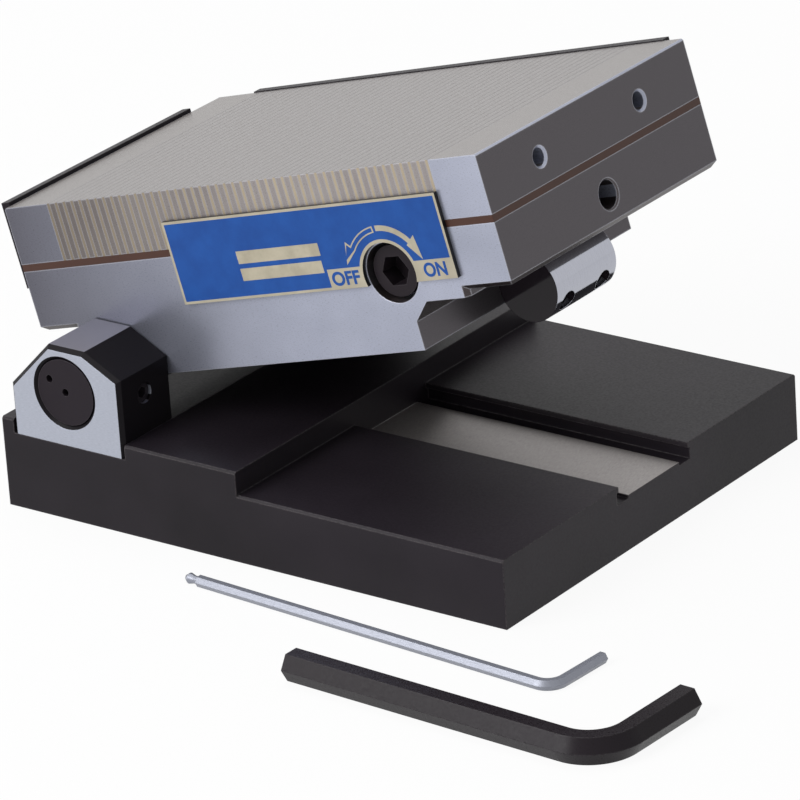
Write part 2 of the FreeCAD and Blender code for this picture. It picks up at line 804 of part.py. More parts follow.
def make_stack(label, thickness, start, count):
    """Upright bars in the carrier, one every second pole."""
    body = new_body(label)
    bar = sketch_on(body, "XY_Plane", label.replace("_", "") + "Bar",
                    "carrier_base + carrier_floor")
    first_edge = "carrier_middle - stack_length / 2 + " + start
    rectangle(bar, first_edge, "-magnet_half",
              "%s + %s" % (first_edge, thickness), "magnet_half")
    first = pad(body, bar, "magnet_height")
    row(body, [first], "X_Axis", "2 * pole_pitch * (%s - 1)" % count, count)
    on_chuck(body)


def make_drive_shaft():
    """Head, front journal, eccentric journal and rear journal, in one turned piece."""
    centre = ("drive_x", "drive_z")
    half = "(journal_length / 2)"
    head = rod("ShaftHead", "drive_head_diameter / 2", "head_end - head_start",
               (centre[0], "head_start", centre[1]), ALONG_Y)
    front = rod("ShaftFront", "shaft_radius", "-head_end - " + half,
                (centre[0], "head_end", centre[1]), ALONG_Y)
    crank = rod("ShaftCrank", "journal_diameter / 2", "journal_length",
                (centre[0] + " - throw", "-" + half, centre[1]), ALONG_Y)
    rear = rod("ShaftRear", "shaft_radius", "drive_shaft_end - " + half,
               (centre[0], half, centre[1]), ALONG_Y)
    socket = hex_socket("ShaftSocket", "drive_socket_width", "drive_socket_depth",
                        (centre[0], "head_start", centre[1]), ALONG_Y)
    body = fuse("ShaftBody", [head, front, crank, rear])
    on_chuck(node(subtract("DriveShaft", body, socket), "drive_shaft"))


# ---- stops ----------------------------------------------------------------------------------

def make_left_stop():
    body = new_body("left_stop")
    start = "(left_stop_inset - chuck_side)"
    plate = sketch_on(body, "YZ_Plane", "LeftStopPlate", "chuck_start - stop_gap")
    rectangle(plate, start, "left_stop_top - stop_height",
              start + " + left_stop_length", "left_stop_top")
    pad(body, plate, "stop_thickness", back=True)
    slots = sketch_on(body, "YZ_Plane", "LeftStopSlots", "chuck_start - stop_gap")
    for sign in ("-", ""):
        slot(slots, sign + "end_hole_pitch / 2", "slot_low", "slot_high", "slot_radius")
    cut(body, slots, "stop_thickness")
    on_chuck(body)


def make_back_stop():
    body = new_body("back_stop")
    start = "(chuck_start + back_stop_inset)"
    plate = sketch_on(body, "XZ_Plane", "BackStopPlate", "-chuck_side - stop_gap")
    rectangle(plate, start, "back_stop_top - stop_height",
              start + " + back_stop_length", "back_stop_top")
    pad(body, plate, "stop_thickness", back=True)
    slots = sketch_on(body, "XZ_Plane", "BackStopSlots", "-chuck_side - stop_gap")
    for sign in ("-", "+"):
        slot(slots, "chuck_middle %s back_hole_pitch / 2" % sign,
             "slot_low", "slot_high", "slot_radius")
    cut(body, slots, "stop_thickness")
    on_chuck(body)


def make_stop_screws():
    """Two wide-headed socket screws through each stop, into the end block and the poles."""
    places = []
    for sign in ("-", ""):
        places.append(("chuck_start", sign + "end_hole_pitch / 2", (-1, 0),
                       "stop_hole_depth", ALONG_X))
        places.append(("chuck_middle + (%sback_hole_pitch / 2)" % sign, "chuck_side", (0, 1),
                       "back_hole_depth", TO_FRONT))
    screws = []
    for i, (x, y, out, depth, way) in enumerate(places):
        name = "StopScrew%d" % i

        def at(reach):
            return ("%s + (%d) * (%s)" % (x, out[0], reach),
                    "%s + (%d) * (%s)" % (y, out[1], reach), "stop_hole_z")
        head_top = "stop_seat + stop_screw_head_height"
        shank = rod(name + "Shank", "stop_screw_diameter / 2",
                    "stop_seat + %s - thread_clearance" % depth, at("stop_seat"), way)
        head = rod(name + "Head", "stop_screw_head / 2", "stop_screw_head_height",
                   at(head_top), way)
        socket = hex_socket(name + "Socket", "stop_screw_socket", "stop_screw_socket_depth",
                            at(head_top), way)
        screws.append(subtract(name, fuse(name + "Body", [shank, head]), socket))
    on_chuck(group("stop_screws", screws))


# ---- hex keys -------------------------------------------------------------------------------

def make_key(label, ball):
    """An L of hexagon bar, lying on a flat; its frame's origin is the corner of the L."""
    body = new_body(label)
    name = label.replace("_", "")

    def size(part):
        return "%s_%s" % (label, part)
    path = body.newObject("Sketcher::SketchObject", name + "Path")
    path.AttachmentSupport = [
        ([f for f in body.Origin.OriginFeatures if f.Role == "XY_Plane"][0], "")]
    path.MapMode = "FlatFace"
    long_end, short_end, bend = (value(size(p)) for p in ("long", "short", "bend"))
    path.addGeometry(Part.LineSegment(
        FreeCAD.Vector(-long_end, 0, 0), FreeCAD.Vector(-bend, 0, 0)))
    path.addGeometry(Part.ArcOfCircle(
        Part.Circle(FreeCAD.Vector(-bend, bend, 0), FreeCAD.Vector(0, 0, 1), bend),
        -math.pi / 2, 0))
    path.addGeometry(Part.LineSegment(
        FreeCAD.Vector(0, bend, 0), FreeCAD.Vector(0, short_end, 0)))
    path.addConstraint(Sketcher.Constraint("Tangent", 0, 2, 1, 1))
    path.addConstraint(Sketcher.Constraint("Tangent", 1, 2, 2, 1))
    pin_point(path, 0, 1, "-" + size("long"), "0")
    pin_point(path, 2, 2, "0", size("short"))
    pin_point(path, 1, 3, "-" + size("bend"), size("bend"))

    section = sketch_on(body, "YZ_Plane", name + "Section", "-" + size("long"))
    hexagon(section, "0", "0", size("width"))
    doc.recompute()
    sweep = body.newObject("PartDesign::AdditivePipe", name + "Sweep")
    sweep.Profile = section
    sweep.Spine = (path, ["Edge1", "Edge2", "Edge3"])
    doc.recompute()
    if ball:
        cut_ball_end(body, name, size)
    bind(body, "Placement.Base.x", size("x"))
    bind(body, "Placement.Base.y", size("y"))
    bind(body, "Placement.Base.z", size("width") + " / 2")
    bind(body, "Placement.Rotation.Angle", size("turn"))


def cut_ball_end(body, name, size):
    """Turn the long arm's end down to a ball behind a narrow neck."""
    ring = sketch_on(body, "XZ_Plane", name + "BallCut")
    tip = "-" + size("long")
    past = size("ball")
    outline(ring, [
        (tip + " - " + past, past), (tip + " - " + past, size("tip") + " / 2"),
        (tip, size("tip") + " / 2"),
        ("%s + %s" % (tip, size("ball_start")), size("ball") + " / 2"),
        ("%s + %s" % (tip, size("neck_start")), size("neck") + " / 2"),
        ("%s + %s" % (tip, size("neck_end")), size("neck") + " / 2"),
        ("%s + %s" % (tip, size("neck_end")), past)])
    doc.recompute()
    groove = body.newObject("PartDesign::Groove", name + "Groove")
    groove.Profile = ring
    groove.ReferenceAxis = (ring, ["H_Axis"])
    groove.Angle = 360
    doc.recompute()


# ---- the whole ------------------------------------------------------------------------------

def build():
    fill_sheet()
    make_base_plate()
    make_bearing_block("bearing_block_front", -1)
    make_bearing_block("bearing_block_rear", 1)
    make_locks()
    make_hinge_pin()
    make_sine_roller()
    make_case_body()
    make_separator_plate()
    make_pole_row("brass_spacers", "brass_thickness", "pack_start", "(pole_count + 1)")
    make_pole_row("pole_laminations", "lamination_thickness",
                  "pack_start + brass_thickness", "pole_count")
    make_end_block("end_block_left", -1)
    make_end_block("end_block_right", 1)
    make_nameplate()
    make_rail("guide_rail_front", -1)
    make_rail("guide_rail_rear", 1)
    make_carrier()
    make_stack("magnets", "magnet_thickness", "0", "magnet_count")
    make_stack("carrier_pole_plates", "plate_thickness", "magnet_thickness",
               "(magnet_count - 1)")
    make_drive_shaft()
    make_left_stop()
    make_back_stop()
    make_stop_screws()
    make_key("magnet_key", False)
    make_key("lock_key", True)
    doc.recompute()


def write_nodes():
    for item in doc.Objects:
        if "Invalid" in item.State or "Error" in item.State:
            raise RuntimeError("%s: %s" % (item.Name, item.State))
    for item in NODES:
        if item.Shape.isNull() or not item.Shape.isValid():
            raise RuntimeError("%s has no valid shape" % item.Label)
    os.makedirs("parts", exist_ok=True)
    for item in NODES:
        item.Shape.exportStep("parts/%s.step" % item.Label)
        print("%-22s %3d solids %12.1f mm3" % (
            item.Label, len(item.Shape.Solids), item.Shape.Volume))


build()
write_nodes()
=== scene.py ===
import json
import math
import bmesh
import bpy
from mathutils import Matrix, Vector


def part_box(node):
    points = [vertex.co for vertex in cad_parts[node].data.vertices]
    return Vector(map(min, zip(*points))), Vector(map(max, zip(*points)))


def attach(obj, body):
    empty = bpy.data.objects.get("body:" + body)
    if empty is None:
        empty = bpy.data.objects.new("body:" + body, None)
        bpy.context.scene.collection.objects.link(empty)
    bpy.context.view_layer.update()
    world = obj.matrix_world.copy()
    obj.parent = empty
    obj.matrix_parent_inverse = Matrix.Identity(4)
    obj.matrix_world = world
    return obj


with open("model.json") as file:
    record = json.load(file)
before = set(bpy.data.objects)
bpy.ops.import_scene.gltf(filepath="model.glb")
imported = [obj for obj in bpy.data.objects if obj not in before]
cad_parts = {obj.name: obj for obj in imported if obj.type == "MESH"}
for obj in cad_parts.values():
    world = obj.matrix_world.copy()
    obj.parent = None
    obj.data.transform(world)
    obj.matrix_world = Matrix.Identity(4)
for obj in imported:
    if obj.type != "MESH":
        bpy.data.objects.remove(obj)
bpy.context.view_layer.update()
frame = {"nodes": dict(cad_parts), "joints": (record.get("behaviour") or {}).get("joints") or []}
mm = 0.001

joints = {joint["name"]: joint for joint in frame["joints"]}
hinge = Vector(joints["tilt"]["pos_m"])
slope = Vector(joints["carrier_shift"]["axis"])        # along the chuck, away from the hinge
tilt = math.atan2(slope.z, slope.x)
levelToTilted = Matrix.Translation(hinge) @ Matrix.Rotation(-tilt, 4, "Y")
tiltedToLevel = levelToTilted.inverted()
chuckUp = tuple(levelToTilted.to_3x3() @ Vector((0, 0, 1)))
chuckEnd = tuple(slope)
print("frame loaded, chuck tilted by %.2f degrees" % math.degrees(tilt))


def levelBox(node):
    # corners of a chuck node as if the chuck lay level, measured from the hinge
    points = [tiltedToLevel @ vertex.co for vertex in frame["nodes"][node].data.vertices]
    low = Vector(min(point[i] for point in points) for i in range(3))
    high = Vector(max(point[i] for point in points) for i in range(3))
    return low, high


masks = {
    "facing": 0.9,                      # cosine within which a face looks along a direction
    "edge": 0.985,                      # cosine at which the edge mask reaches its full strength
    "edgeSamples": 6, "bumpSamples": 4,
}


def newMaterial(name):
    material = bpy.data.materials.new(name)
    material.use_nodes = True
    tree = material.node_tree
    return material, tree, tree.nodes["Principled BSDF"]


def addNode(tree, kind, **settings):
    node = tree.nodes.new("ShaderNode" + kind)
    for key, value in settings.items():
        setattr(node, key, value)
    return node


def link(tree, source, target):
    tree.links.new(source, target)


def setInput(tree, socket, value):
    if isinstance(value, bpy.types.NodeSocket):
        link(tree, value, socket)
    else:
        socket.default_value = value


def maths(tree, operation, first, second):
    node = addNode(tree, "Math", operation=operation)
    setInput(tree, node.inputs[0], first)
    setInput(tree, node.inputs[1], second)
    return node.outputs[0]


def linearColour(tone):
    # a tone with screen values from 0 to 255, made linear
    parts = []
    for part in tone:
        part /= 255
        parts.append(part / 12.92 if part <= 0.04045 else ((part + 0.055) / 1.055) ** 2.4)
    return (*parts, 1.0)


def mixColour(tree, amount, first, second):
    # first and second are sockets or tones
    node = addNode(tree, "Mix", data_type="RGBA")
    setInput(tree, node.inputs[0], amount)
    for socket, value in ((node.inputs[6], first), (node.inputs[7], second)):
        isSocket = isinstance(value, bpy.types.NodeSocket)
        setInput(tree, socket, value if isSocket else linearColour(value))
    return node.outputs[2]


def mixValue(tree, amount, first, second):
    node = addNode(tree, "Mix", data_type="FLOAT")
    setInput(tree, node.inputs[0], amount)
    setInput(tree, node.inputs[2], first)
    setInput(tree, node.inputs[3], second)
    return node.outputs[0]


def remap(tree, value, low=0.3, high=0.7, outLow=0.0, outHigh=1.0):
    # by itself it spreads a noise, most of which lies between 0.3 and 0.7, over 0 to 1
    node = addNode(tree, "MapRange")
    setInput(tree, node.inputs["Value"], value)
    node.inputs["From Min"].default_value = low
    node.inputs["From Max"].default_value = high
    node.inputs["To Min"].default_value = outLow
    node.inputs["To Max"].default_value = outHigh
    return node.outputs[0]


def unevenRoughness(tree, value, level, below=0.06, above=0.08):
    return remap(tree, value, outLow=level - below, outHigh=level + above)


def objectPlace(tree, onChuck=False, stretch=(1, 1, 1)):
    # object coordinates, for the chuck turned back to level and measured from the hinge
    place = addNode(tree, "TexCoord").outputs["Object"]
    mapping = addNode(tree, "Mapping", vector_type="TEXTURE" if onChuck else "POINT")
    if onChuck:
        mapping.inputs["Location"].default_value = hinge
        mapping.inputs["Rotation"].default_value = (0, -tilt, 0)
    link(tree, place, mapping.inputs["Vector"])
    if stretch == (1, 1, 1):
        return mapping.outputs["Vector"]
    scaling = addNode(tree, "Mapping")
    scaling.inputs["Scale"].default_value = stretch
    link(tree, mapping.outputs["Vector"], scaling.inputs["Vector"])
    return scaling.outputs["Vector"]


def axes(tree, vector):
    node = addNode(tree, "SeparateXYZ")
    link(tree, vector, node.inputs[0])
    return node.outputs


def noise(tree, vector, scale, detail=3.0, roughness=0.5):
    node = addNode(tree, "TexNoise")
    link(tree, vector, node.inputs["Vector"])
    node.inputs["Scale"].default_value = scale
    node.inputs["Detail"].default_value = detail
    node.inputs["Roughness"].default_value = roughness
    return node.outputs["Fac"]


def facing(tree, direction):
    # 1 where the true normal points along a direction, otherwise 0
    geometry = addNode(tree, "NewGeometry")
    dot = addNode(tree, "VectorMath", operation="DOT_PRODUCT")
    link(tree, geometry.outputs["True Normal"], dot.inputs[0])
    dot.inputs[1].default_value = direction
    return maths(tree, "GREATER_THAN", dot.outputs["Value"], masks["facing"])


def facingEither(tree, direction):
    # 1 where the true normal points along a direction or against it
    against = tuple(-part for part in direction)
    return maths(tree, "MAXIMUM", facing(tree, direction), facing(tree, against))


def longSides(tree):
    return facingEither(tree, (0, 1, 0))


def softNormal(tree, radius, samples):
    soft = addNode(tree, "Bevel", samples=samples)
    soft.inputs["Radius"].default_value = radius
    return soft.outputs[0]


def bump(tree, shader, height, strength, distance, edge=0.0):
    node = addNode(tree, "Bump")
    node.inputs["Strength"].default_value = strength
    node.inputs["Distance"].default_value = distance
    link(tree, height, node.inputs["Height"])
    if edge:
        link(tree, softNormal(tree, edge, masks["bumpSamples"]), node.inputs["Normal"])
    link(tree, node.outputs[0], shader.inputs["Normal"])


def edgeMask(tree, radius):
    # near 1 along edges, where the rounded normal leaves the true one
    geometry = addNode(tree, "NewGeometry")
    dot = addNode(tree, "VectorMath", operation="DOT_PRODUCT")
    link(tree, softNormal(tree, radius, masks["edgeSamples"]), dot.inputs[0])
    link(tree, geometry.outputs["Normal"], dot.inputs[1])
    return remap(tree, dot.outputs["Value"], 1.0, masks["edge"])


# In the finishes a noise is (scale, detail, roughness) and a bump (strength, distance, edge).
groundFinish = {
    "lines": (900.0, 4.0, 0.6), "linesStretch": (1, 12, 12), "linesSpan": (0.3, 0.75, 0.0, 0.35),
    "patches": (35.0, 4.0), "patchesSpan": (0.35, 0.7),
    "metallic": 0.6, "topMetallic": 0.3, "roughness": 0.3, "bump": (0.4, 0.00002, 0.35 * mm),
    # the pale edge tone below is a painted highlight along the edges
    "paintedEdgeHighlight": (206, 208, 218), "paintedHighlightRadius": 0.5 * mm, "paintedHighlightAmount": 0.4,
    "hingeShadeSpan": (-25 * mm, 78 * mm, 0.85, 0.0),             # from the hinge, strength of the painted shade at each
}
# painted shade: the faces on top get this darker tone instead of the long sides' tone
paintedTopShade = (126, 121, 119)
# the end tone is painted shade on the faces at both ends
caseTones = {
    # the last tone is painted shade towards the hinge
    "tone": (174, 178, 195), "shade": (156, 160, 176), "end": (80, 76, 80), "hingeShadeTone": (68, 65, 72),
}
groundTones = {
    # the case's under tone is painted shade on its faces that don't face a long side
    "groundCase": {**caseTones, "under": (66, 59, 60)},
    "groundEndBlock": {**caseTones, "top": paintedTopShade},
    # the pole's top tone is painted shade on its faces on top
    "groundPole": {
        # the last tone here is painted shade towards the hinge
        "tone": (158, 152, 151), "shade": (138, 131, 130), "top": paintedTopShade, "hingeShadeTone": (78, 71, 68),
    },
    "carrierAluminium": {"tone": (200, 202, 205), "shade": (180, 182, 186)},
}


def paintHingeShade(tree, base, tone):
    # painted shade: the long sides are painted darker towards the hinge
    along = axes(tree, objectPlace(tree, True))[0]
    hingeShadeAmount = remap(tree, along, *groundFinish["hingeShadeSpan"])
    return mixColour(tree, maths(tree, "MULTIPLY", hingeShadeAmount, longSides(tree)), base, tone)


def groundSteel(name):
    # fine grinding lines along the chuck and soft patches; painted light: a painted highlight
    # along the edges and painted shade on the tops, the ends, the undersides and towards the
    # hinge
    finish, tones = groundFinish, groundTones[name]
    material, tree, shader = newMaterial(name)
    lines = noise(tree, objectPlace(tree, True, finish["linesStretch"]), *finish["lines"])
    patches = noise(tree, objectPlace(tree, True), *finish["patches"])
    base = mixColour(tree, remap(tree, patches, *finish["patchesSpan"]),
                     tones["tone"], tones["shade"])
    base = mixColour(tree, remap(tree, lines, *finish["linesSpan"]), base, tones["shade"])
    # painted shade on every face that doesn't face a long side
    if "under" in tones:
        base = mixColour(tree, longSides(tree), tones["under"], base)
    # painted shade, darker towards the hinge
    if "hingeShadeTone" in tones:
        base = paintHingeShade(tree, base, tones["hingeShadeTone"])
    top = facing(tree, chuckUp)
    # painted shade on the faces on top
    if "top" in tones:
        base = mixColour(tree, top, base, tones["top"])
    # painted shade on the faces at the chuck's ends
    if "end" in tones:
        base = mixColour(tree, facingEither(tree, chuckEnd), base, tones["end"])
    # painted highlight: the edges are mixed towards a pale tone
    paintedEdgeHighlight = maths(tree, "MULTIPLY", edgeMask(tree, finish["paintedHighlightRadius"]),
                   finish["paintedHighlightAmount"])
    link(tree, mixColour(tree, paintedEdgeHighlight, base, finish["paintedEdgeHighlight"]), shader.inputs["Base Color"])
    link(tree, mixValue(tree, top, finish["metallic"], finish["topMetallic"]),
         shader.inputs["Metallic"])
    link(tree, unevenRoughness(tree, lines, finish["roughness"]), shader.inputs["Roughness"])
    bump(tree, shader, lines, *finish["bump"])
    return material


blackFinish = {
    "fine": (1400.0, 4.0, 0.6), "cloud": (26.0, 3.0), "cloudSpan": (0.3, 0.7, 0.0, 0.4),
    # the worn edge tone is both wear and a painted highlight
    "cloudTone": (40, 35, 41), "wearAndHighlight": (84, 80, 83), "wearAndHighlightSpan": (0.35, 0.6), "wearAndHighlightAmount": 0.5,
    "sheen": 0.12, "bump": (0.25, 0.00002),
}
blackTones = {                                              # tone, roughness, width of the edges
    "blackenedStop": ((24, 20, 25), 0.4, 0.4 * mm),
    "blackenedScrew": ((34, 31, 35), 0.35, 0.2 * mm),
    "blackenedKey": ((30, 25, 29), 0.3, 0.4 * mm),
    "darkPin": ((32, 26, 32), 0.4, 0.3 * mm),
    "darkDrive": ((34, 28, 32), 0.34, 0.3 * mm),
    "ferrite": ((48, 46, 48), 0.6, 0.2 * mm),
}


def blackOxide(name):
    # blackened and fine-grained, its edges a little brighter, partly as wear and partly as a
    # painted highlight
    finish = blackFinish
    tone, roughness, edge = blackTones[name]
    material, tree, shader = newMaterial(name)
    fine = noise(tree, objectPlace(tree), *finish["fine"])
    cloud = noise(tree, objectPlace(tree), *finish["cloud"])
    base = mixColour(tree, remap(tree, cloud, *finish["cloudSpan"]), tone, finish["cloudTone"])
    # edges brighter: wear and a painted highlight
    wearAndHighlight = maths(tree, "MULTIPLY", edgeMask(tree, edge), remap(tree, fine, *finish["wearAndHighlightSpan"]))
    wearAndHighlight = maths(tree, "MULTIPLY", wearAndHighlight, finish["wearAndHighlightAmount"])
    link(tree, mixColour(tree, wearAndHighlight, base, finish["wearAndHighlight"]), shader.inputs["Base Color"])
    shader.inputs["Specular IOR Level"].default_value = finish["sheen"]
    link(tree, unevenRoughness(tree, fine, roughness), shader.inputs["Roughness"])
    bump(tree, shader, fine, *finish["bump"], edge)
    return material


baseFinish = {
    "fine": (1300.0, 4.0, 0.6), "cloud": (18.0, 4.0),
    "lines": (700.0, 4.0, 0.6), "linesStretch": (10, 1, 10),
    "black": (20, 16, 21), "blackCloud": (38, 33, 39), "ground": (172, 167, 165),
    "groundShade": (140, 135, 134), "groundMetallic": 0.7, "groundRoughness": 0.34,
    "groundFrom": 15.8 * mm, "groundTo": 17.0 * mm,         # heights of the bright floors
    # the worn edge tone is both wear and a painted highlight
    "wearAndHighlight": (110, 104, 106), "wearAndHighlightSpan": (0.35, 0.6), "wearAndHighlightRadius": 0.5 * mm,
    "wearAndHighlightAmount": 0.4, "roughness": 0.42, "sheen": 0.18, "bump": (0.25, 0.00002, 0.5 * mm),
}


def baseMaterial():
    # black all over, with bright ground floors in the gauge channel
    finish = baseFinish
    material, tree, shader = newMaterial("blackenedBase")
    fine = noise(tree, objectPlace(tree), *finish["fine"])
    cloud = noise(tree, objectPlace(tree), *finish["cloud"])
    lines = noise(tree, objectPlace(tree, stretch=finish["linesStretch"]), *finish["lines"])
    height = axes(tree, objectPlace(tree))[2]
    inChannel = maths(tree, "MULTIPLY", maths(tree, "LESS_THAN", height, finish["groundTo"]),
                      maths(tree, "GREATER_THAN", height, finish["groundFrom"]))
    ground = maths(tree, "MULTIPLY", facing(tree, (0, 0, 1)), inChannel)
    black = mixColour(tree, remap(tree, cloud), finish["black"], finish["blackCloud"])
    # edges brighter: wear and a painted highlight
    wearAndHighlight = maths(tree, "MULTIPLY", edgeMask(tree, finish["wearAndHighlightRadius"]), finish["wearAndHighlightAmount"])
    wearAndHighlight = maths(tree, "MULTIPLY", wearAndHighlight, remap(tree, fine, *finish["wearAndHighlightSpan"]))
    black = mixColour(tree, wearAndHighlight, black, finish["wearAndHighlight"])
    steel = mixColour(tree, remap(tree, lines), finish["ground"], finish["groundShade"])
    link(tree, mixColour(tree, ground, black, steel), shader.inputs["Base Color"])
    link(tree, mixValue(tree, ground, 0.0, finish["groundMetallic"]), shader.inputs["Metallic"])
    rough = unevenRoughness(tree, fine, finish["roughness"])
    link(tree, mixValue(tree, ground, rough, finish["groundRoughness"]),
         shader.inputs["Roughness"])
    shader.inputs["Specular IOR Level"].default_value = finish["sheen"]
    bump(tree, shader, fine, *finish["bump"])
    return material


blockFinish = {
    "fine": (1300.0, 4.0, 0.6), "lines": (800.0, 4.0, 0.6), "linesStretch": (1, 1, 10),
    "black": (18, 15, 19), "ground": (182, 186, 198), "groundShade": (160, 164, 176),
    "top": (134, 133, 143), "brightMetallic": 0.6, "roughness": 0.42, "brightRoughness": 0.38,
    "sheen": 0.1, "bump": (0.25, 0.00002, 0.3 * mm),
}


def blockMaterial(name, side):
    # black block whose outer face and top are ground bright
    finish = blockFinish
    material, tree, shader = newMaterial(name)
    fine = noise(tree, objectPlace(tree), *finish["fine"])
    lines = noise(tree, objectPlace(tree, stretch=finish["linesStretch"]), *finish["lines"])
    outer = facing(tree, (0, side, 0))
    top = facing(tree, (0, 0, 1))
    ground = mixColour(tree, remap(tree, lines), finish["ground"], finish["groundShade"])
    base = mixColour(tree, top, finish["black"], finish["top"])
    link(tree, mixColour(tree, outer, base, ground), shader.inputs["Base Color"])
    bright = maths(tree, "MAXIMUM", outer, top)
    link(tree, maths(tree, "MULTIPLY", bright, finish["brightMetallic"]),
         shader.inputs["Metallic"])
    link(tree, mixValue(tree, bright, finish["roughness"], finish["brightRoughness"]),
         shader.inputs["Roughness"])
    shader.inputs["Specular IOR Level"].default_value = finish["sheen"]
    bump(tree, shader, fine, *finish["bump"])
    return material


layerFinish = {
    "lines": (700.0, 4.0, 0.6), "linesStretch": (1, 12, 12), "cloud": (60.0, 3.0),
    "cloudSpan": (0.2, 0.8), "sheen": 0.3, "roughness": 0.38, "bump": (0.3, 0.00002, 0.2 * mm),
}
layerTones = {
    "separatorStrip": {"tone": (76, 48, 38), "shade": (56, 36, 30), "metallic": 0.15},
    "spacerBrass": {
        # the brass's top tone is painted shade on its faces on top
        "tone": (178, 165, 144), "shade": (158, 145, 126), "top": (122, 117, 115),
        # the brass's last tone is painted shade towards the hinge
        "hingeShadeTone": (98, 89, 78), "metallic": 0.4,
    },
}


def layerMetal(name):
    # the brown strip and the brass between the laminations
    finish, tones = layerFinish, layerTones[name]
    material, tree, shader = newMaterial(name)
    lines = noise(tree, objectPlace(tree, True, finish["linesStretch"]), *finish["lines"])
    cloud = noise(tree, objectPlace(tree, True), *finish["cloud"])
    amount = maths(tree, "MULTIPLY", remap(tree, lines), remap(tree, cloud, *finish["cloudSpan"]))
    base = mixColour(tree, amount, tones["tone"], tones["shade"])
    # painted shade, darker towards the hinge
    if "hingeShadeTone" in tones:
        base = paintHingeShade(tree, base, tones["hingeShadeTone"])
    # painted shade on the faces on top
    if "top" in tones:
        base = mixColour(tree, facing(tree, chuckUp), base, tones["top"])
    link(tree, base, shader.inputs["Base Color"])
    shader.inputs["Metallic"].default_value = tones["metallic"]
    shader.inputs["Specular IOR Level"].default_value = finish["sheen"]
    shader.inputs["Roughness"].default_value = finish["roughness"]
    bump(tree, shader, lines, *finish["bump"])
    return material


polishedFinish = {
    "rings": (500.0, 3.0, 0.6), "ringsStretch": (1, 20, 1), "shadeShare": 0.94,
    "unevenness": (0.03, 0.04), "endSheen": 0.2, "bump": (0.1, 0.00001, 0.25 * mm),
}
polishedTones = {
    # the roller's end tone is painted shade on its ends
    "chromedRoller": {
        "tone": (176, 178, 188), "end": (40, 34, 40), "roughness": 0.08, "metallic": 1.0,
        "onChuck": True,
    },
    "platedKey": {
        "tone": (146, 149, 160), "roughness": 0.4, "metallic": 0.5, "onChuck": False,
    },
}


def polishedSteel(name):
    # smooth and bright; the roller's ends get painted shade, a dark tone
    finish, tones = polishedFinish, polishedTones[name]
    material, tree, shader = newMaterial(name)
    place = objectPlace(tree, tones["onChuck"], finish["ringsStretch"])
    rings = noise(tree, place, *finish["rings"])
    shade = [part * finish["shadeShare"] for part in tones["tone"]]
    base = mixColour(tree, remap(tree, rings), tones["tone"], shade)
    shader.inputs["Metallic"].default_value = tones["metallic"]
    if "end" in tones:
        # painted shade: the roller's ends get a dark tone
        shadedEnds = longSides(tree)
        base = mixColour(tree, shadedEnds, base, tones["end"])
        link(tree, mixValue(tree, shadedEnds, tones["metallic"], 0.0), shader.inputs["Metallic"])
        shader.inputs["Specular IOR Level"].default_value = finish["endSheen"]
    link(tree, base, shader.inputs["Base Color"])
    link(tree, unevenRoughness(tree, rings, tones["roughness"], *finish["unevenness"]),
         shader.inputs["Roughness"])
    bump(tree, shader, rings, *finish["bump"])
    return material


labelFinish = {
    "cloud": (120.0, 4.0), "beige": (182, 174, 154), "beigeShade": (164, 156, 137),
    "edge": (14, 12, 14), "metallic": 0.2, "roughness": 0.4, "bump": (0.15, 0.00002, 0.15 * mm),
}
inkFinish = {
    "cloud": (160.0, 5.0, 0.6), "cloudSpan": (0.35, 0.65), "blue": (20, 77, 154),
    "blueShade": (14, 68, 142), "roughness": 0.45, "sheen": 0.25, "bump": (0.1, 0.00001),
}


def labelMetal():
    # pale lacquered face, dark on every face that doesn't face forward
    finish = labelFinish
    material, tree, shader = newMaterial("labelPlate")
    cloud = noise(tree, objectPlace(tree, True), *finish["cloud"])
    face = mixColour(tree, remap(tree, cloud), finish["beige"], finish["beigeShade"])
    link(tree, mixColour(tree, facing(tree, (0, -1, 0)), finish["edge"], face),
         shader.inputs["Base Color"])
    shader.inputs["Metallic"].default_value = finish["metallic"]
    shader.inputs["Roughness"].default_value = finish["roughness"]
    bump(tree, shader, cloud, *finish["bump"])
    return material


def printInk(name, tone, shade):
    finish = inkFinish
    material, tree, shader = newMaterial(name)
    cloud = noise(tree, objectPlace(tree, True), *finish["cloud"])
    link(tree, mixColour(tree, remap(tree, cloud, *finish["cloudSpan"]), tone, shade),
         shader.inputs["Base Color"])
    shader.inputs["Roughness"].default_value = finish["roughness"]
    shader.inputs["Specular IOR Level"].default_value = finish["sheen"]
    bump(tree, shader, cloud, *finish["bump"])
    return material


print("finishes defined")


def dressNode(node, material):
    slots = frame["nodes"][node].material_slots
    if not slots:
        frame["nodes"][node].data.materials.append(material)
    for entry in slots:
        entry.material = material


